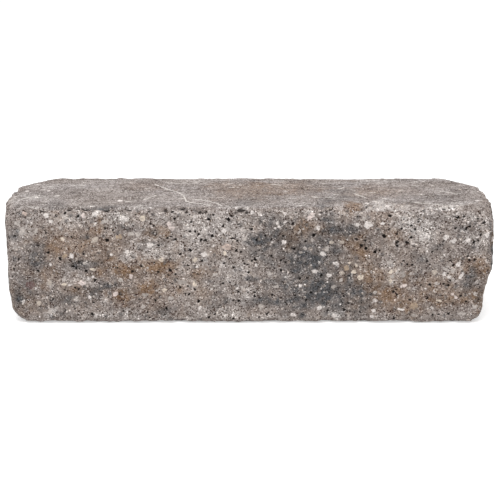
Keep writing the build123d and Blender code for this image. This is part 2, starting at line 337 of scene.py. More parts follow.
# Pale stains and pale lines along the front arris, with painted light along the foot of the front against
# the shade of its lower round and of the floor
pale_stain_and_light_px = (
    (420, 229, 20, 15, 35, 0.65), (427, 237, 10, 6, 30, 0.75), (468, 241, 10, 5, 0, 0.75),
    (487, 235, 5, 6, 0, 0.8), (393, 274, 9, 11, 0, 0.6), (450, 273, 10, 8, 0, 0.6),
    (380, 205, 16, 6, 0, 0.7), (408, 211, 15, 7, 0, 0.25), (440, 210, 12, 7, 0, 0.5),
    (130, 256, 8, 10, 0, 0.5), (152, 254, 7, 8, 0, 0.5), (180, 246, 12, 5, 0, 0.4),
    (75, 277, 17, 11, 0, 0.4), (51, 311, 10, 6, 0, 0.2), (22, 234, 5, 9, 0, 0.8),
    (122, 219, 12, 7, 0, 0.5), (89, 214, 13, 5, 0, 0.5), (105, 316, 10, 4, 0, 0.75),
    (301, 204, 11, 3, 0, 0.45), (334, 315, 10, 6, 0, 0.3), (217, 232, 42, 19, 0, 0.36),
    (460, 206, 26, 6, 0, 0.2), (28, 198, 18, 6, 0, 0.45), (235, 270, 22, 12, 0, 0.2),
    (485, 255, 6, 12, 0, 0.3), (70, 220, 20, 8, 0, 0.3), (185, 262, 62, 56, 0, 0.16),
    (250, 217, 230, 14, 0, 0.1), (140, 207, 24, 1.4, 0, 0.4), (40, 208, 12, 1.6, 0, 0.5),
    (240, 209, 12, 2, 0, 0.3), (28, 228, 6, 16, 0, 0.4), (387, 266, 8, 10, 0, 0.55),
    (408, 222, 12, 12, 0, 0.55), (462, 216, 24, 5, 0, 0.4), (482, 242, 10, 6, 0, 0.5),
    (233, 314, 14, 7, 0, 0.7), (130, 313, 9, 6, 0, 0.45), (336, 317, 8, 5, 0, 0.8),
    (180, 317, 14, 5, 0, 0.5), (207, 313, 12, 6, 0, 0.1), (248, 293, 12, 8, 0, 0.3),
    (145, 243, 10, 8, 0, 0.25), (222, 212, 8, 1.5, 8, 0.6), (240, 207, 8, 1.3, 0, 0.6),
    (311, 211.5, 5, 2.2, -20, 1), (342, 207, 5, 2.5, 0, 0.3), (438, 209.3, 5, 1.4, 0, 0.6),
    (450, 210.5, 5, 2.5, 0, 0.7), (76, 210.3, 3.5, 2, 0, 1), (121, 207.3, 5, 1.2, 0, 0.5),
    (28, 206.5, 14, 1.2, 0, 0.4), (265, 317, 20, 4, 0, 0.3), (118, 315, 18, 5, 0, 0.5),
    (485, 222, 6, 20, 0, 0.4), (175, 183, 30, 3, 0, 0.2), (105, 232, 14, 8, 0, 0.4),
    (480, 236, 6, 10, 0, 0.3), (240, 300, 16, 10, 0, 0.12), (200, 181, 26, 3, 0, 0.2),
    (375, 181, 26, 3, 0, 0.25), (250, 317, 225, 4, 0, 0.13), (487, 225, 5, 24, 0, 0.3),
    (388, 262, 9, 14, 0, 0.3), (50, 283, 3.5, 5, 0, 0.6), (52, 312, 6, 3.5, 0, 0.8),
    (86, 281, 9, 7, 0, 0.55), (77, 299, 3, 4, 0, 0.5), (104, 301, 4, 5, 0, 0.35),
    (303, 278, 7, 4, 0, 0.9), (350, 266, 7, 7, 0, 0.7), (100, 221, 26, 8, 0, 0.25),
    (162, 221, 14, 8, 0, 0.2), (285, 218, 40, 8, 0, 0.15), (14, 247, 7, 14, 0, 0.25),
    (160, 256, 12, 7, 0, 0.3), (484, 246, 7, 10, 0, 0.25), (482, 285, 7, 14, 0, 0.1),
    (201, 273, 16, 5, 4, 0.3), (346, 214, 9, 6, 0, 0.3), (358, 250, 10, 6, 38, 0.2),
    (484, 262, 6, 10, 0, 0.2),
)

# Lower edge of the smooth skin of the top, along the front arris
skin_edge_px = (
    (0, 206), (20, 206), (40, 208), (60, 209), (100, 209), (115, 208), (160, 207), (180, 206), (200, 206.5),
    (215, 207), (226, 209), (240, 208), (280, 208), (320, 207), (340, 206), (355, 204), (370, 201),
    (385, 200.5), (395, 204), (405, 202), (420, 202), (432, 205), (460, 206), (475, 203), (486, 199),
    (500, 198),
)
skin_fade_px = (0.8, -1.2)
skin_rim = (0.003, 0.011)
skin_rim_ragged_share = 0.5
bed_skin_share = 0.4

# Chips of the front arrises, above and below: place and half width in pixels, depth as a share
marked_chips_px = (
    (183, 209, 6, 0.8), (203, 211, 7, 1), (240, 210.5, 8, 1), (89, 209.5, 8, 0.8), (108, 210, 5, 0.7),
    (438, 206.5, 7, 0.8), (51, 210, 5, 0.6), (151, 210, 5, 0.6), (268, 209.5, 6, 0.7), (296, 208.5, 5, 0.5),
    (322, 209, 7, 0.8), (470, 207, 6, 0.7), (350, 209, 6, 0.6), (398, 206, 6, 0.7), (420, 205.5, 6, 0.6),
    (22, 209, 6, 0.5), (130, 209, 6, 0.5), (222, 210, 5, 0.7), (56, 320, 3, 1.1), (98, 320, 5, 1),
    (155, 319, 7, 1.3), (180, 319, 9, 1.4), (273, 319, 5, 1.1), (292, 319, 6, 1.1), (330, 318.5, 9, 1.4),
    (362, 318.5, 11, 1.3), (409, 318.5, 7, 1.5), (433, 318.5, 4, 1.3), (454, 318, 7, 1.4),
)
marked_chip_depth = 0.0022
marked_chip_edge_shares = (1.0, 0.25)

# Drag lines of the top: their bends in pixels
drag_lines_px = (
    ((155, 184.3), (168, 189.4), (177, 192), (183.3, 195), (186, 200.6), (191.4, 202.7)),
    ((193.5, 199.1), (201.6, 199.6), (209.8, 201.1), (218, 203.7), (224, 206.5)),
    ((186, 201.2), (197.6, 203.2), (209.8, 204.4)),
    ((143.5, 200.1), (150.6, 197), (157.8, 195)),
    ((126, 201.6), (137.3, 200.8)),
    ((269.4, 184), (276, 184.6), (282.7, 185.3)),
    ((292.9, 198.6), (301, 198.1)),
    ((312.2, 196.7), (319.4, 197)),
    ((325.5, 197), (336.7, 198)),
    ((354, 193.5), (361, 196), (367.3, 198.6)),
    ((338.8, 189), (345.9, 186.5)),
    ((54, 196), (61.2, 195.5)),
    ((22, 199), (31, 197), (39, 196.5)),
    ((43, 187), (53, 186.5)),
    ((411.8, 185.3), (420.5, 185.8)),
    ((439.4, 191), (450, 192.5), (458.8, 194.5)),
    ((412, 202), (425, 203.5), (441, 204.5)),
)
drag_half = 0.0032
drag_lift = 0.00035
drag_step = 0.0024

# Stains of the faces that the photograph doesn't show: numbers, half sizes and turns; edges of all stains
hidden_stain_counts = {"back": 30, "bed": 24, "left": 8, "right": 8}
hidden_stain_half = 0.022
hidden_stain_seeds = {"brown": 78, "dark": 89, "pale": 106}
hidden_stain_half_shares = (0.4, 2.2)
hidden_stain_flat_shares = (0.3, 0.7)
hidden_stain_strength_shares = (0.3, 0.8)
hidden_stain_turns = (-0.4, 0.4)
stain_edge_shares = (0.15, 1.45)
stain_warp_share = 0.5
stain_warp_sizes = (0.022, 0.008)

# Relief: wave sizes, depths and seeds
broad_size, broad_depth = 0.070, 0.0005
medium_size, medium_depth = 0.017, 0.0004
fine_size, fine_depth = 0.006, 0.00038
skin_relief_share = 0.22
skin_fine_share = 0.5
skin_sink_share = 0.4
skin_stretch = Vector((0.25, 1.0, 1.0))
relief_set_back = 0.0001
arris_band = 0.016
arris_ragged_share = 0.45
crumble_size, crumble_depth = 0.013, 0.0017
fray_size, fray_depth = 0.0060, 0.0012
chip_size, chip_depth = 0.030, 0.0016
chip_start_share = 0.15
chip_gain = 2
pebble_calm_share = 0.7
pebble_hold_share = 0.5
wave_shifts = (7.3, 3.1, 5.7)
wave_seeds = {
    "broad": 1, "medium": 2, "fine": 3, "drawn": 4, "crumble": 5, "chip": 6, "fray": 7, "arris": 8,
    "skin edge": 9, "skin rim": 10, "crevice": 12, "brown": 20, "dark": 21, "pale": 22
}


def smooth_step(value, start, end):
    """0 up to start, 1 from end, and a smooth rise between them; start may be the larger one."""
    share = np.clip((value - start) / (end - start), 0.0, 1.0)
    return share * share * (3 - 2 * share)


def to_core(place):
    """The nearest point of the core."""
    return Vector([min(max(c, a), b) for c, a, b in zip(place, core_low, core_high)])


def to_box(place):
    """The face of the box, and the place along it, that lie straight out from the core past a place."""
    core = to_core(place)
    out = place - core
    across = max(range(3), key=lambda axis: abs(out[axis]))
    on_box = core + out * (core_inset / abs(out[across]))
    side = 1 if out[across] > 0 else -1
    name = next(n for n, (axis, s, _, _) in faces.items() if axis == across and s == side)
    along, up = faces[name][2:]
    return name, Vector((on_box[along], on_box[up]))


def from_face(name, u, v):
    """The point of the box at a place along a face."""
    across, side, along, up = faces[name]
    place = Vector((0, 0, 0))
    place[across] = high[across] if side > 0 else low[across]
    place[along], place[up] = u, v
    return place


def to_solid(on_box):
    """The point of the solid's surface that lies straight in towards the core from a point of the box."""
    inwards = (to_core(on_box) - on_box).normalized()
    hit = solid_tree.ray_cast(on_box - inwards * core_inset, inwards)[0]
    return hit if hit is not None else solid_tree.find_nearest(on_box)[0]


def seen_at(px, py):
    """The face and place along it that the photograph shows at a pixel."""
    sight = Vector(((px - photo_px / 2) / focal_px, (photo_px / 2 - py) / focal_px, -1.0))
    hit = solid_tree.ray_cast(camera_place, (camera_turn @ sight).normalized())[0]
    return to_box(hit) if hit is not None else None


class Spot:
    """A pit or pebble: its face, centre, half sizes, turn, uneven outline and tint; a pit has no tint."""

    def __init__(self, face, centre, half_long, half_short, turn, dice, tint=None):
        self.face, self.centre, self.turn, self.tint = face, centre, turn, tint
        self.half_long, self.half_short = half_long, half_short
        uneven_share = pit_uneven_share if tint is None else pebble_uneven_share
        self.bumps = [(n, dice.uniform(0, uneven_share), dice.uniform(0, math.tau)) for n in spot_waves]
        self.reach = max(half_long, half_short) * (1 + uneven_share)

    def point(self, angle, share):
        """The place along the face at an angle and a share of the spot's size."""
        swell = 1 + sum(size * math.cos(count * angle + start) for count, size, start in self.bumps)
        x = math.cos(angle) * self.half_long * share * swell
        y = math.sin(angle) * self.half_short * share * swell
        cos, sin = math.cos(self.turn), math.sin(self.turn)
        return self.centre + Vector((x * cos - y * sin, x * sin + y * cos))

    def half_towards(self, place):
        """The half size towards another place, with its groove if it has one."""
        away = place - self.centre
        angle = math.atan2(away.y, away.x) - self.turn
        half = 1 / math.hypot(math.cos(angle) / self.half_long, math.sin(angle) / self.half_short)
        return half if self.tint is None else half * pebble_groove_share

    def covers(self, places, margin):
        """Which of an array of places lie inside the spot or within a margin of it."""
        offset = places - np.array(self.centre)
        cos, sin = math.cos(self.turn), math.sin(self.turn)
        x = (offset[:, 0] * cos + offset[:, 1] * sin) / (self.half_long + margin)
        y = (offset[:, 1] * cos - offset[:, 0] * sin) / (self.half_short + margin)
        return x * x + y * y < 1


def fits(spot, spots):
    """Whether a spot lies clear of its face's edges and of the other spots."""
    for axis, place, ahead in zip(faces[spot.face][2:], spot.centre, (Vector((1, 0)), Vector((0, 1)))):
        edge = spot.half_towards(spot.centre + ahead) + spot_gap
        if not low[axis] + edge < place < high[axis] - edge:
            return False
    return all(
        (spot.centre - other.centre).length
        > spot.half_towards(other.centre) + other.half_towards(spot.centre) + spot_gap
        for other in spots
        if other.face == spot.face
    )


def half_sizes(wide_px, tall_px):
    """Half the real width and height of what measures this many pixels on the front."""
    return wide_px / 2 * metres_per_px, tall_px / 2 * metres_per_px / math.cos(camera_elevation)


def marked_spots():
    """The pebbles and pits that stand out in the photograph."""
    spots = []
    dice = random.Random(face_seeds["front"])
    for tint, marks in marked_pebbles_px.items():
        for px, py, wide, tall, lean in marks:
            face, centre = seen_at(px, py)
            halves = half_sizes(wide, tall)
            spots.append(Spot(face, centre, *halves, -math.radians(lean), dice, pebble_tints[tint]))
    for px, py, wide in marked_pits_px:
        face, centre = seen_at(px, py)
        half = wide / 2 * metres_per_px * pit_rim_share
        flat = half / dice.uniform(*pit_long_shares)
        spots.append(Spot(face, centre, half, flat, dice.uniform(*pit_turns), dice))
    kept = []
    for spot in spots:
        if fits(spot, kept):
            kept.append(spot)
    return kept


def random_place(face, dice):
    """An even random place along a face."""
    along, up = faces[face][2:]
    return Vector((dice.uniform(low[along], high[along]), dice.uniform(low[up], high[up])))


def scattered_spots(face, kept):
    """More pebbles and pits on a face, clear of those already there; pits lie in patches."""
    dice = random.Random(face_seeds[face])
    spots = [spot for spot in kept if spot.face == face]
    names, shares = zip(*pebble_tint_shares.items())
    wanted = pebble_counts[face]
    while wanted:
        half = pebble_half * dice.uniform(*pebble_half_shares)
        tint = pebble_tints[dice.choices(names, shares)[0]]
        long_half = half * dice.uniform(*pebble_long_shares)
        spot = Spot(face, random_place(face, dice), long_half, half, dice.uniform(0, math.pi), dice, tint)
        if fits(spot, spots):
            spots.append(spot)
            wanted -= 1
    smallest, largest = pit_half_shares
    wanted = pit_counts[face]
    while wanted:
        half = pit_half * (smallest + (largest - smallest) * dice.random() ** 2)
        place = random_place(face, dice)
        patch = noise.noise(Vector((*(place / pit_patch), face_seeds[face])))
        spot = Spot(face, place, half * dice.uniform(*pit_long_shares), half, dice.uniform(0, math.pi), dice)
        if dice.random() < pit_patch_chance + patch and fits(spot, spots):
            spots.append(spot)
            wanted -= 1
    return spots


def ring(spot, share, count, dice, wobble_share):
    """Uneven points round a spot, at a share of its size."""
    start = dice.uniform(0, math.tau)
    for step in range(count):
        angle = start + step * math.tau / count
        yield spot.point(angle, share * (1 + dice.uniform(-wobble_share, wobble_share)))


def pebble_points(spot, dice):
    """Rows of u, v, lift, pit, pebble, drag and tint for a pebble that stands a little proud of a groove."""
    count = max(fewest_pebble_points, round(math.pi * (spot.half_long + spot.half_short) / ring_pitch))
    proud = pebble_proud * dice.uniform(*pebble_proud_shares)
    yield (*spot.centre, proud, 0, 1, 0, *spot.tint)
    for size_share, height_share, bare_share in pebble_ring_shares:
        ring_count = max(fewest_inner_points, round(count * size_share))
        for place in ring(spot, size_share, ring_count, dice, pebble_wobble_share):
            yield (*place, proud * height_share, 0, bare_share, 0, *spot.tint)
    for place in ring(spot, pebble_groove_share, count, dice, groove_wobble_share):
        yield (*place, -pebble_groove, 0, 0, 0, *spot.tint)


def pit_points(spot, dice):
    """Rows of u, v, lift, pit, pebble, drag and tint for a steep hole, its inside painted dark as shade."""
    depth = pit_depth_share * min(spot.half_long, spot.half_short)
    count = max(fewest_pit_points, round(math.pi * (spot.half_long + spot.half_short) / ring_pitch))
    yield (*spot.centre, -depth, 1, 0, 0, *no_tint)
    inner_count = max(fewest_inner_points, round(count * pit_inner_share))
    for place in ring(spot, pit_inner_share, inner_count, dice, pit_wobble_share):
        lift = -depth * dice.uniform(*pit_floor_shares)
        yield (*place, lift, dice.uniform(*pit_shade_shares), 0, 0, *no_tint)
    for place in ring(spot, 1.0, count, dice, pit_wobble_share):
        yield (*place, *flat_point)


def drag_rows():
    """For each face, the rows of u, v, lift, pit, pebble, drag and tint along the drag lines."""
    rows = {name: [] for name in faces}
    for bends in drag_lines_px:
        places = [seen_at(*bend) for bend in bends]
        for (face, start), (end_face, end) in zip(places, places[1:]):
            if face != end_face:
                continue
            run = end - start
            side = Vector((-run.y, run.x)).normalized() * drag_half
            steps = max(1, round(run.length / drag_step))
            for step in range(steps):
                place = start + run * (step / steps)
                rows[face].append((*place, drag_lift, 0, 0, 1, *no_tint))
                rows[face].append((*(place + side), *flat_point))
                rows[face].append((*(place - side), *flat_point))
    return rows


def steps_along(axis, spacing):
    """Even places along one axis of the box, both ends included."""
    count = round((high[axis] - low[axis]) / spacing)
    return [low[axis] + (high[axis] - low[axis]) * step / count for step in range(count + 1)]


def edge_rows(face):
    """Rows for the points on the four edges of a face, which it shares with its neighbours."""
    along, up = faces[face][2:]
    places = [(u, v) for u in steps_along(along, edge_pitches[along]) for v in (low[up], high[up])]
    places += [(u, v) for v in steps_along(up, edge_pitches[up])[1:-1] for u in (low[along], high[along])]
    return [(u, v, *flat_point) for u, v in places]


def uneven_grid(face, spacing, dice):
    """An uneven grid of places over a face, with every other row moved over."""
    along, up = faces[face][2:]
    uneven = spacing * jitter_share
    places = []
    for row, v in enumerate(steps_along(up, spacing)[1:-1]):
        shift = spacing / 4 if row % 2 else -spacing / 4
        for u in steps_along(along, spacing)[1:-1]:
            places.append((u + shift + dice.uniform(-uneven, uneven), v + dice.uniform(-uneven, uneven)))
    places = np.array(places)
    edge = spacing / 2
    return places[(places[:, 0] > low[along] + edge) & (places[:, 0] < high[along] - edge)]


def lip_distance(face, places):
    """How far places along a face are from the front arris of the top."""
    if face == "front":
        return high.z - places[:, 1]
    if face == "top":
        return places[:, 1] - low.y
    return np.full(len(places), length)


def plain_rows(face, spots, taken):
    """Rows for the plain surface between the spots, closer together near the front arris of the top."""
    dice = random.Random(face_seeds[face])
    rows = []
    for spacing, nearest, farthest in ((face_pitches[face], lip_band, math.inf), (lip_pitch, 0, lip_band)):
        places = uneven_grid(face, spacing, dice)
        away = lip_distance(face, places)
        clear = (away > nearest) & (away < farthest)
        edge = spacing / 2
        for spot in spots:
            margin = edge if spot.tint is None else edge + spot.reach * (pebble_groove_share - 1)
            clear &= ~spot.covers(places, margin)
        for row in taken:
            clear &= np.hypot(places[:, 0] - row[0], places[:, 1] - row[1]) > edge
        rows += [(u, v, *flat_point) for u, v in places[clear]]
    return rows


def face_mesh(face, kept, drags):
    """Rows of the points of a face, and its triangles, which turn outwards."""
    dice = random.Random(face_seeds[face] + 1)
    spots = scattered_spots(face, kept)
    lines = np.array([row[:2] for row in drags]) if drags else np.zeros((0, 2))
    spots = [spot for spot in spots if not spot.covers(lines, drag_half).any()]
    rows = edge_rows(face) + drags
    for spot in spots:
        rows += pit_points(spot, dice) if spot.tint is None else pebble_points(spot, dice)
    rows += plain_rows(face, spots, drags)
    places = [Vector(row[:2]) for row in rows]
    made = delaunay_2d_cdt(places, [], [], 0, merge_distance)
    first = [origin[0] for origin in made[3]]
    triangles = [[first[corner] for corner in triangle] for triangle in made[2]]
    across, side, along, up = faces[face]
    turn_out = side if (along, up) != (0, 2) else -side
    if turn_out < 0:
        triangles = [triangle[::-1] for triangle in triangles]
    return rows, triangles


def joined_faces():
    """All points and triangles of the six faces, joined along the edges that they share."""
    kept = marked_spots()
    drags = drag_rows()
    index, on_box, carried, face_of, triangles, corners_uv = {}, [], [], [], [], []
    for face in faces:
        rows, face_triangles = face_mesh(face, kept, drags[face])
        numbers = []
        for row in rows:
            place = from_face(face, row[0], row[1])
            key = tuple(round(c * steps_per_metre) for c in place)
            if key not in index:
                index[key] = len(on_box)
                on_box.append(place)
                carried.append(row[2:])
                face_of.append(face)
            numbers.append(index[key])
        triangles += [[numbers[corner] for corner in triangle] for triangle in face_triangles]
        corners_uv += [unwrapped(face, rows[corner]) for triangle in face_triangles for corner in triangle]
    return on_box, np.array(carried), np.array(face_of), triangles, corners_uv


# Unwrapping: the four long faces lie above each other, and the ends beside them
unwrap_gap = 0.006
unwrap_rows = {"front": 0, "back": 1, "top": 2, "bed": 3, "left": 0, "right": 1}
unwrap_side = length + max(width, height) + 3 * unwrap_gap


def unwrapped(face, row):
    """Where a point of a face lies on the flat pattern, from 0 to 1."""
    along, up = faces[face][2:]
    u = row[0] - low[along] + unwrap_gap
    v = row[1] - low[up] + unwrap_gap + unwrap_rows[face] * (max(width, height) + unwrap_gap)
    if face in ("left", "right"):
        u += length + unwrap_gap
    return u / unwrap_side, v / unwrap_side


def edge_distance(on_box, face_of):
    """How far each point lies from the nearest edge of its face."""
    places = np.array(on_box)
    near = np.minimum(places - np.array(low), np.array(high) - places)
    for face, (across, side, along, up) in faces.items():
        near[face_of == face, across] = max(length, width, height)
    return near.min(axis=1)


def waves(places, size, name):
    """Smooth noise of a wave size at each place, different for each name."""
    shift = Vector([wave_seeds[name] * step for step in wave_shifts])
    return np.array([noise.noise(place / size + shift) for place in places])


def stain_and_painted_light_tables():
    """For brown, dark and pale stains, the dark and pale ones with some painted shade and light: rows of
    face, centre, half sizes, turn and strength.
    """
    tables = {}
    tall_shares = {"front": 1 / math.cos(camera_elevation), "top": 1 / math.sin(camera_elevation)}
    for name, marks in (("brown", brown_stains_px), ("dark", dark_stain_and_shade_px), ("pale", pale_stain_and_light_px)):
        rows = []
        for px, py, half_wide, half_tall, lean, strength in marks:
            face, centre = seen_at(px, py)
            tall = half_tall * metres_per_px * tall_shares.get(face, 1.0)
            rows.append((face, centre, half_wide * metres_per_px, tall, -math.radians(lean), strength))
        dice = random.Random(hidden_stain_seeds[name])
        for face, count in hidden_stain_counts.items():
            for step in range(count):
                half = hidden_stain_half * dice.uniform(*hidden_stain_half_shares)
                flat = half * dice.uniform(*hidden_stain_flat_shares)
                strength = dice.uniform(*hidden_stain_strength_shares)
                centre = random_place(face, dice)
                rows.append((face, centre, half, flat, dice.uniform(*hidden_stain_turns), strength))
        tables[name] = rows
    return tables


def stains_and_painted_light(on_box, face_of):
    """The strength of the brown, dark and pale stains, with their painted shade and light, at each point."""
    places = np.array(on_box)
    found = {}
    for name, rows in stain_and_painted_light_tables().items():
        warp = 1 + stain_warp_share * sum(waves(on_box, size, name) for size in stain_warp_sizes)
        clear = np.ones(len(places))
        for face, centre, half_long, half_short, turn, share in rows:
            along, up = faces[face][2:]
            x, y = places[:, along] - centre.x, places[:, up] - centre.y
            cos, sin = math.cos(turn), math.sin(turn)
            far = np.hypot((x * cos + y * sin) / half_long, (y * cos - x * sin) / half_short) * warp
            mark = share * smooth_step(far, stain_edge_shares[1], stain_edge_shares[0])
            clear = np.where(face_of == face, clear * (1 - mark), clear)
        found[name] = 1 - clear
    return found


def pixels(places):
    """Where each place lies in the photograph."""
    offset = (np.array(places) - np.array(camera_place)) @ np.array(camera_turn.to_matrix())
    px = photo_px / 2 - focal_px * offset[:, 0] / offset[:, 2]
    py = photo_px / 2 + focal_px * offset[:, 1] / offset[:, 2]
    return px, py


def crevices(places, face_of):
    """How open the crevices under the lip of the skin are at each point, from 0 to 1."""
    px, py = pixels(places)
    ragged = 1 + crevice_ragged_share * waves(places, fray_size, "crevice")
    opened = np.zeros(len(px))
    for at_x, at_y, wide, tall, lean in marked_crevices_px:
        x, y = px - at_x, py - at_y
        cos, sin = math.cos(math.radians(lean)), math.sin(math.radians(lean))
        far = np.hypot((x * cos + y * sin) / (wide / 2), (y * cos - x * sin) / (tall / 2)) * ragged
        opened = np.maximum(opened, smooth_step(far, *crevice_edge_shares))
    return np.where(np.isin(face_of, ("front", "top")), opened, 0.0)


def skin_mask(places, on_box, face_of):
    """Where the smooth skin of the top is, down to its uneven edge along the front arris."""
    px, py = pixels(places)
    edge_py = np.interp(px, *zip(*skin_edge_px)) + waves(places, crumble_size, "skin edge")
    shown = smooth_step(py - edge_py, *skin_fade_px)
    box = np.array(on_box)
    rim = np.minimum(np.minimum(box[:, 0] - low.x, high.x - box[:, 0]), high.y - box[:, 1])
    rim = smooth_step(rim * (1 + skin_rim_ragged_share * waves(places, crumble_size, "skin rim")), *skin_rim)
    near_top = smooth_step(box[:, 2], high.z - arris_band * 2, high.z - arris_band)
    skin = np.where(face_of == "top", shown * rim, 0.0)
    skin = np.where(face_of == "front", shown * near_top, skin)
    return np.where(face_of == "bed", bed_skin_share, skin)


def chips(places):
    """How deep the marked chips of the front arris are at each place."""
    points = np.array(places)
    depth = np.zeros(len(points))
    for px, py, half, share in marked_chips_px:
        face, centre = seen_at(px, py)
        middle_place = np.array(to_solid(from_face(face, *centre)))
        far = np.linalg.norm(points - middle_place, axis=1) / (half * metres_per_px)
        chip = marked_chip_depth * share * smooth_step(far, *marked_chip_edge_shares)
        depth = np.maximum(depth, chip)
    return depth


def relief(places, skin, arris, pebble):
    """How far each point stands out from the solid."""
    rough = 1 - skin * (1 - skin_relief_share)
    stretched = [Vector(a * b for a, b in zip(place, skin_stretch)) for place in places]
    lift = broad_depth * waves(places, broad_size, "broad")
    lift += medium_depth * rough * waves(places, medium_size, "medium")
    lift += fine_depth * rough * (1 - pebble_calm_share * pebble) * waves(places, fine_size, "fine")
    lift += fine_depth * skin * skin_fine_share * waves(stretched, fine_size, "drawn")
    lift += arris * crumble_depth * waves(places, crumble_size, "crumble")
    lift += arris * fray_depth * waves(places, fray_size, "fray")
    chip = chip_depth * np.clip(waves(places, chip_size, "chip") - chip_start_share, 0, 1) * chip_gain
    worn = arris * chip + chips(places)
    return lift - relief_set_back - worn * (1 - pebble_hold_share * pebble)


def linked(name, data):
    """A new object of the scene."""
    obj = bpy.data.objects.new(name, data)
    bpy.context.scene.collection.objects.link(obj)
    return obj


def stone():
    """The stone's mesh, with its points' masks and tints as attributes."""
    on_box, carried, face_of, triangles, corners_uv = joined_faces()
    places = [to_solid(place) for place in on_box]
    mesh = bpy.data.meshes.new("tumbled_stone")
    mesh.from_pydata(places, [], triangles)
    normals = np.zeros(len(places) * 3)
    mesh.vertices.foreach_get("normal", normals)
    normals = normals.reshape(-1, 3)

    lift, pit, pebble, drag = carried[:, 0], carried[:, 1], carried[:, 2], carried[:, 3]
    near = edge_distance(on_box, face_of)
    ragged = near * (1 + arris_ragged_share * waves(on_box, crumble_size, "arris"))
    arris = smooth_step(ragged, arris_band, 0)
    skin = skin_mask(places, on_box, face_of)
    crevice = crevices(places, face_of)
    # The crevices take painted shade through the pits' mask
    pit = np.maximum(pit, crevice_shade_share * crevice)
    out = lift * (1 - skin_sink_share * skin) + relief(places, skin, arris, pebble) - crevice_depth * crevice
    points = np.array(places) + normals * out[:, None]
    points = np.clip(points, np.array(low), np.array(high))
    mesh.vertices.foreach_set("co", points.ravel())
    mesh.update()

    # The dark and pale masks hold painted shade and light as well as stains
    masks = {"pit": pit, "pebble": pebble, "drag": drag, "skin": skin, **stains_and_painted_light(on_box, face_of)}
    for name, values in masks.items():
        mesh.attributes.new(name, "FLOAT", "POINT").data.foreach_set("value", values.astype(np.float32))
    tint = np.ones((len(places), 4), np.float32)
    tint[:, :3] = carried[:, 4:7]
    mesh.attributes.new("tint", "FLOAT_COLOR", "POINT").data.foreach_set("color", tint.ravel())
    mesh.uv_layers.new(name="OFBake").data.foreach_set("uv", np.array(corners_uv, np.float32).ravel())
    mesh.polygons.foreach_set("use_smooth", np.ones(len(mesh.polygons), bool))
    return linked("tumbled_stone", mesh)


# Noise from 0 to 1 mostly lies between these
usual_noise = (0.3, 0.7)


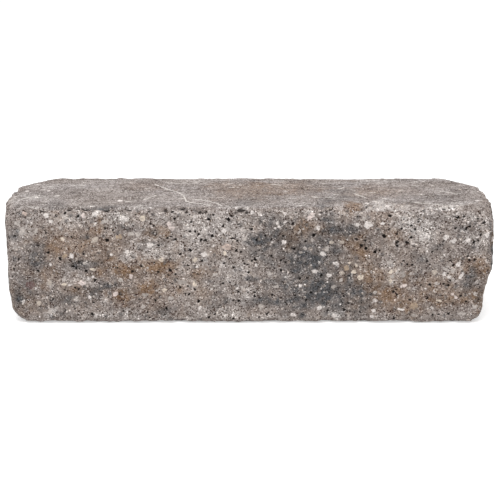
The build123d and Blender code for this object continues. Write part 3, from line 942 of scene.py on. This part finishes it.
class Nodes:
    """Short ways to add nodes to one material."""

    def __init__(self, name):
        self.material = bpy.data.materials.new(name)
        self.material.use_nodes = True
        self.tree = self.material.node_tree
        self.shader = self.tree.nodes["Principled BSDF"]
        self.coords = self.tree.nodes.new("ShaderNodeTexCoord").outputs["Object"]

    def set(self, socket, value):
        """Links an output to a socket, or sets a plain value on it."""
        if isinstance(value, bpy.types.NodeSocket):
            self.tree.links.new(value, socket)
        elif isinstance(value, tuple) and len(value) == 3 and socket.type == "RGBA":
            socket.default_value = (*value, 1.0)
        else:
            socket.default_value = value

    def mask(self, name, output="Fac"):
        """What the points carry under a name: a number, or with the output Color a colour."""
        node = self.tree.nodes.new("ShaderNodeAttribute")
        node.attribute_name = name
        return node.outputs[output]

    def math(self, operation, a, b=0.0, c=0.0):
        """An operation on up to three values; a plus sign after its name keeps the result from 0 to 1."""
        node = self.tree.nodes.new("ShaderNodeMath")
        node.operation = operation.rstrip("+")
        node.use_clamp = operation.endswith("+")
        for socket, value in zip(node.inputs, (a, b, c)):
            self.set(socket, value)
        return node.outputs[0]

    def times(self, a, b):
        """One value times another."""
        return self.math("MULTIPLY", a, b)

    def span(self, value, from_low, from_high, to_low=0.0, to_high=1.0):
        """A value carried from one span to another, and kept in it."""
        node = self.tree.nodes.new("ShaderNodeMapRange")
        for socket, number in zip(node.inputs, (value, from_low, from_high, to_low, to_high)):
            self.set(socket, number)
        return node.outputs[0]

    def between(self, share, at_none, at_full):
        """A number that goes from one value to another as a share goes from 0 to 1."""
        return self.span(share, 0.0, 1.0, at_none, at_full)

    def mix(self, share, a, b):
        """One colour mixed over another."""
        node = self.tree.nodes.new("ShaderNodeMix")
        node.data_type = "RGBA"
        self.set(node.inputs["Factor"], share)
        self.set([s for s in node.inputs if s.name == "A" and s.type == "RGBA"][0], a)
        self.set([s for s in node.inputs if s.name == "B" and s.type == "RGBA"][0], b)
        return [s for s in node.outputs if s.type == "RGBA"][0]

    def grey(self, colour):
        """A colour's lightness."""
        node = self.tree.nodes.new("ShaderNodeRGBToBW")
        self.set(node.inputs[0], colour)
        return node.outputs[0]

    def vector(self, operation, a, b):
        """An operation on two vectors, or on a vector and a number."""
        node = self.tree.nodes.new("ShaderNodeVectorMath")
        node.operation = operation
        self.set(node.inputs[0], a)
        self.set(node.inputs["Scale" if operation == "SCALE" else 1], b)
        return node.outputs[0]

    def scaled(self, size):
        """The coordinates in units of a size in metres, along each axis if it has three."""
        sizes = size if isinstance(size, tuple) else (size,) * 3
        return self.vector("DIVIDE", self.coords, sizes)

    def noise_node(self, size, detail):
        """A noise node whose waves have a size in metres."""
        node = self.tree.nodes.new("ShaderNodeTexNoise")
        self.set(node.inputs["Vector"], self.scaled(size))
        node.inputs["Scale"].default_value = 1.0
        node.inputs["Detail"].default_value = detail
        return node

    def noise(self, size, detail=2.0):
        """Smooth noise from 0 to 1."""
        return self.noise_node(size, detail).outputs["Fac"]

    def swing(self, size, detail=2.0):
        """Smooth noise from -1 to 1."""
        return self.span(self.noise(size, detail), *usual_noise, -1.0, 1.0)

    def grains(self, size, crooked=0.0):
        """For grains of a size: how far a place is from its grain's middle, and three random numbers."""
        node = self.tree.nodes.new("ShaderNodeTexVoronoi")
        place = self.scaled(size)
        if crooked:
            shift = self.vector("SUBTRACT", self.noise_node(size, 2.0).outputs["Color"], (0.5, 0.5, 0.5))
            place = self.vector("ADD", place, self.vector("SCALE", shift, crooked))
        self.set(node.inputs["Vector"], place)
        node.inputs["Scale"].default_value = 1.0
        parts = self.tree.nodes.new("ShaderNodeSeparateColor")
        self.set(parts.inputs[0], node.outputs["Color"])
        return node.outputs["Distance"], *parts.outputs

    def picked(self, test, number, limit, inside):
        """The grains whose random number passes a test against a limit, inside their edges."""
        return self.times(self.math(test, number, limit), inside)

    def bump(self, height, depth, strength, normal=None):
        """Small relief from a height of 0 to 1."""
        node = self.tree.nodes.new("ShaderNodeBump")
        node.inputs["Strength"].default_value = strength
        node.inputs["Distance"].default_value = depth
        self.set(node.inputs["Height"], height)
        if normal is not None:
            self.set(node.inputs["Normal"], normal)
        return node.outputs["Normal"]


# Concrete: sizes of its grains, clouds and streaks
fine_sand_size, sand_size, film_size, grit_size, gravel_size = 0.0012, 0.0020, 0.0026, 0.0034, 0.0062
ragged_size, mottle_size, patch_size, cloud_size = 0.0060, 0.0075, 0.019, 0.050
streak_size = (0.045, 0.0065, 0.0065)
swath_size = (0.120, 0.040, 0.040)
dash_size = (0.0120, 0.0050, 0.0050)
sand_bump, sugar_bump = 0.0006, 0.0002

# Concrete: colours
cement_cool, cement_warm = (0.258, 0.223, 0.207), (0.269, 0.223, 0.197)
skin_cool, skin_warm = (0.290, 0.256, 0.243), (0.281, 0.242, 0.222)
# Tints of the brown, dark and pale stains; the dark and pale ones also paint shade and light
stain_and_painted_light_tints = {"pale": (0.55, 0.505, 0.480), "brown": (0.215, 0.136, 0.083), "dark": (0.073, 0.073, 0.077)}
gravel_pale, gravel_warm, gravel_dark = (0.47, 0.425, 0.40), (0.42, 0.345, 0.29), (0.125, 0.115, 0.112)
grit_white, grit_cream = (0.62, 0.575, 0.55), (0.53, 0.455, 0.40)
# Painted shade: the black of pits, crevices and pinholes; no colour gets darker than it
painted_hole_shade = (0.023, 0.018, 0.016)
drag_white = (0.74, 0.69, 0.645)

# Concrete: how much each grain or cloud lightens and darkens the broken faces, and the skin
tone_shares = {
    "fine": (2.2, 2.0),
    "sand": (0.04, 0.12),
    "ragged": (0.25, 0.14),
    "mottle": (0.17, 0.20),
    "patch": (0.17, 0.20),
    "cloud": (0.13, 0.18),
    "streak": (0.0, 0.23),
}
tone_limits = (-0.9, 1.3)
tone_grey_share = 0.5
fine_power = 4.0
ragged_pale, ragged_dark = (0.59, 0.67), (0.41, 0.33)

# Concrete: spans that noise is carried from and, where there are four numbers, to
swath_span = (0.4, 0.65)
stain_span = (0.32, 0.68, 0.6, 1.55)
film_span = (0.34, 0.54, 0.55, 1.0)
outline_span = (*usual_noise, 0.45, 1.55)
broken_span = (0.31, 0.46)

# Concrete: which grains show, by their random number, where their edges fade, and how crooked they are
pale_gravel_above, dark_gravel_below, gravel_edge, gravel_crooked = 0.72, 0.12, (0.60, 0.20), 0.9
grit_chance_rise, grit_above, grit_edge, grit_crooked = -0.5, 1.17, (0.52, 0.32), 0.6
dash_above, dash_edge, dash_crooked = 0.86, (0.45, 0.20), 0.5
spark_below, speck_above, sand_edge = 0.04, 0.95, (0.50, 0.34)

# Concrete: how strongly they show, on the broken faces and on the skin where there are two numbers
pale_gravel_share, dark_gravel_share, dash_share = 0.4, 0.7, 0.48
grit_shares, spark_shares, speck_shares = (0.75, 0.2), (0.75, 0.4), (0.85, 0.3)
pebble_edge, pebble_light, pebble_mottle_share, pebble_fine_share = (0.25, 0.85), 0.97, 0.12, 0.3
pit_span, drag_span = (0.02, 0.35, 0.0, 0.94), (0.4, 0.75, 0.0, 0.95)

# Concrete: relief and gloss
speck_rise, pale_rise = -1.5, 0.6
bump_shares, pebble_smooth_share = (1.0, 0.3), 0.6
sand_bump_strength, sugar_bump_strength = 0.6, 0.5
roughness_shares = (0.84, 0.97)
specular_level = 0.3


def concrete():
    """Grey-brown concrete: sand and small stones in cement, stained, with a smooth skin on the top, painted
    shade in its pits, crevices and pinholes, and painted shade and light in some of the stains.
    """
    n = Nodes("concrete")
    pit, pebble, drag, skin = (n.mask(name) for name in ("pit", "pebble", "drag", "skin"))
    bare = n.math("SUBTRACT+", 1.0, skin)
    fine_a = n.grains(fine_sand_size)[1]
    sand_far, sand_a, sand_b, sand_c = n.grains(sand_size)
    grit_far, grit_a, grit_b = n.grains(grit_size, grit_crooked)[:3]
    gravel_far, gravel_a, gravel_b = n.grains(gravel_size, gravel_crooked)[:3]
    dash_far, dash_a = n.grains(dash_size, dash_crooked)[:2]
    patch = n.noise(patch_size, 3.0)

    # Cement, and the skin on the top, each with warmer and cooler clouds
    cement = n.mix(n.span(n.noise(cloud_size, 3.0), *usual_noise), cement_cool, cement_warm)
    skin_tone = n.mix(n.span(n.noise(swath_size, 3.0), *swath_span), skin_cool, skin_warm)
    colour = n.mix(skin, cement, skin_tone)

    # Stains, a little uneven, with the painted shade and light of the dark and pale ones
    uneven = n.span(n.noise(mottle_size, 4.0), *stain_span)
    for name, tint in stain_and_painted_light_tints.items():
        colour = n.mix(n.math("MULTIPLY+", n.mask(name), uneven), colour, tint)

    # Small stones under a film of cement
    under = n.times(n.span(gravel_far, *gravel_edge), bare)
    pale = n.picked("GREATER_THAN", gravel_a, pale_gravel_above, under)
    colour = n.mix(n.times(pale, pale_gravel_share), colour, n.mix(gravel_b, gravel_pale, gravel_warm))
    dark = n.picked("LESS_THAN", gravel_a, dark_gravel_below, under)
    colour = n.mix(n.times(dark, dark_gravel_share), colour, gravel_dark)

    # Bare grit, thicker in some patches
    chance = n.math("MULTIPLY_ADD", patch, grit_chance_rise, grit_above)
    grit = n.picked("GREATER_THAN", grit_a, chance, n.span(grit_far, *grit_edge))
    grit = n.times(grit, n.between(skin, *grit_shares))
    colour = n.mix(grit, colour, n.mix(grit_b, grit_white, grit_cream))

    # Pale dashes where stones were dragged along the skin
    dash = n.picked("GREATER_THAN", dash_a, dash_above, n.span(dash_far, *dash_edge))
    colour = n.mix(n.times(dash, n.times(skin, dash_share)), colour, drag_white)

    # Sand and clouds: lighter and darker grains, calmer in the skin and greyer than what they lie on
    even_fine = n.between(fine_a, -1.0, 1.0)
    ragged = n.noise(ragged_size, 5.0)
    swings = {
        "fine": n.times(even_fine, n.math("POWER", n.math("ABSOLUTE", even_fine), fine_power)),
        "sand": n.between(sand_a, -1.0, 1.0),
        "ragged": n.math("SUBTRACT", n.span(ragged, *ragged_pale), n.span(ragged, *ragged_dark)),
        "mottle": n.swing(mottle_size, 3.0),
        "patch": n.span(patch, *usual_noise, -1.0, 1.0),
        "cloud": n.swing(cloud_size, 3.0),
        "streak": n.swing(streak_size, 3.0),
    }
    tone = 0.0
    for name, shares in tone_shares.items():
        tone = n.math("MULTIPLY_ADD", swings[name], n.between(skin, *shares), tone)
    tone = n.math("MINIMUM", n.math("MAXIMUM", tone, tone_limits[0]), tone_limits[1])
    swing = n.vector("SCALE", n.mix(tone_grey_share, colour, n.grey(colour)), tone)
    colour = n.vector("MAXIMUM", n.vector("ADD", colour, swing), painted_hole_shade)

    # White grains, and pinholes painted black as their shade
    spark = n.picked("LESS_THAN", sand_c, spark_below, n.span(sand_far, *sand_edge))
    colour = n.mix(n.times(spark, n.between(skin, *spark_shares)), colour, grit_white)
    speck = n.picked("GREATER_THAN", sand_c, speck_above, n.span(sand_far, *sand_edge))
    speck = n.times(speck, n.between(skin, *speck_shares))
    colour = n.mix(speck, colour, painted_hole_shade)

    # Pebbles with some cement left on them, pits painted black as their shade, and drag lines that come and
    # go
    film = n.span(n.noise(film_size, 4.0), *film_span)
    outline = n.times(pebble, n.span(n.noise(grit_size, 4.0), *outline_span))
    mottled = n.math("MULTIPLY_ADD", swings["mottle"], pebble_mottle_share, pebble_light)
    mottled = n.math("MULTIPLY_ADD", swings["fine"], pebble_fine_share, mottled)
    stone_tint = n.vector("SCALE", n.mask("tint", "Color"), mottled)
    colour = n.mix(n.times(n.span(outline, *pebble_edge), film), colour, stone_tint)
    colour = n.mix(n.span(pit, *pit_span), colour, painted_hole_shade)
    broken = n.times(n.span(drag, *drag_span), n.span(n.noise(film_size, 3.0), *broken_span))
    colour = n.mix(broken, colour, drag_white)
    n.set(n.shader.inputs["Base Color"], colour)

    # Relief of the sand
    grain_height = n.math("ADD", sand_a, n.times(pale, pale_rise))
    grain_height = n.math("MULTIPLY_ADD", speck, speck_rise, grain_height)
    calm = n.math("SUBTRACT+", n.between(skin, *bump_shares), n.times(pebble, pebble_smooth_share))
    normal = n.bump(n.times(grain_height, calm), sand_bump, sand_bump_strength)
    normal = n.bump(n.noise(fine_sand_size, 2.0), sugar_bump, sugar_bump_strength, normal)
    n.set(n.shader.inputs["Normal"], normal)
    n.set(n.shader.inputs["Roughness"], n.between(sand_b, *roughness_shares))
    n.shader.inputs["Specular IOR Level"].default_value = specular_level
    return n.material


# Stage: a pale floor that keeps the shadow, soft light and a white background
floor_half = 6.0
floor_albedo = (0.86, 0.86, 0.86)
floor_glow = 0.46
world_strength = 0.62
lamp_place = Vector((-0.25, -1.05, 2.85))
lamp_size = 1.8
lamp_power = 60.0


def floor():
    """A plain pale floor, brightened for the camera alone."""
    corners = [(x * floor_half, y * floor_half, 0) for x, y in ((-1, -1), (1, -1), (1, 1), (-1, 1))]
    mesh = bpy.data.meshes.new("floor")
    mesh.from_pydata(corners, [], [(0, 1, 2, 3)])
    material = bpy.data.materials.new("floor")
    material.use_nodes = True
    tree = material.node_tree
    shader = tree.nodes["Principled BSDF"]
    shader.inputs["Base Color"].default_value = (*floor_albedo, 1.0)
    shader.inputs["Roughness"].default_value = 1.0
    shader.inputs["Specular IOR Level"].default_value = 0.0
    shader.inputs["Emission Color"].default_value = (1.0, 1.0, 1.0, 1.0)
    path = tree.nodes.new("ShaderNodeLightPath")
    glow = tree.nodes.new("ShaderNodeMath")
    glow.operation = "MULTIPLY"
    glow.inputs[1].default_value = floor_glow
    tree.links.new(path.outputs["Is Camera Ray"], glow.inputs[0])
    tree.links.new(glow.outputs[0], shader.inputs["Emission Strength"])
    mesh.materials.append(material)
    linked("floor", mesh)


def world():
    """Even light from all round, and white behind the object for the camera."""
    sky = bpy.data.worlds.new("studio")
    sky.use_nodes = True
    tree = sky.node_tree
    background = tree.nodes["Background"]
    background.inputs["Color"].default_value = (1.0, 1.0, 1.0, 1.0)
    path = tree.nodes.new("ShaderNodeLightPath")
    shown = tree.nodes.new("ShaderNodeMapRange")
    shown.inputs["To Min"].default_value = world_strength
    shown.inputs["To Max"].default_value = 1.0
    tree.links.new(path.outputs["Is Camera Ray"], shown.inputs["Value"])
    tree.links.new(shown.outputs[0], background.inputs["Strength"])
    bpy.context.scene.world = sky


def aimed(name, data, place, turn):
    """A new lamp or camera of the scene, at a place and turned."""
    obj = linked(name, data)
    obj.location = place
    obj.rotation_mode = "QUATERNION"
    obj.rotation_quaternion = turn
    return obj


def lamp():
    """A large soft light above the front."""
    light = bpy.data.lights.new("softbox", "AREA")
    light.size = lamp_size
    light.energy = lamp_power
    aimed("softbox", light, lamp_place, (middle - lamp_place).to_track_quat("-Z", "Y"))


def camera():
    """The photograph's camera."""
    data = bpy.data.cameras.new("camera")
    data.sensor_width = sensor_width
    data.lens = focal_px / photo_px * sensor_width
    bpy.context.scene.camera = aimed("camera", data, camera_place, camera_turn)


piece = stone()
piece.data.materials.append(concrete())
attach(piece, "root")
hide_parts(node_name)
floor()
world()
lamp()
camera()
bpy.context.scene.view_settings.view_transform = "Standard"
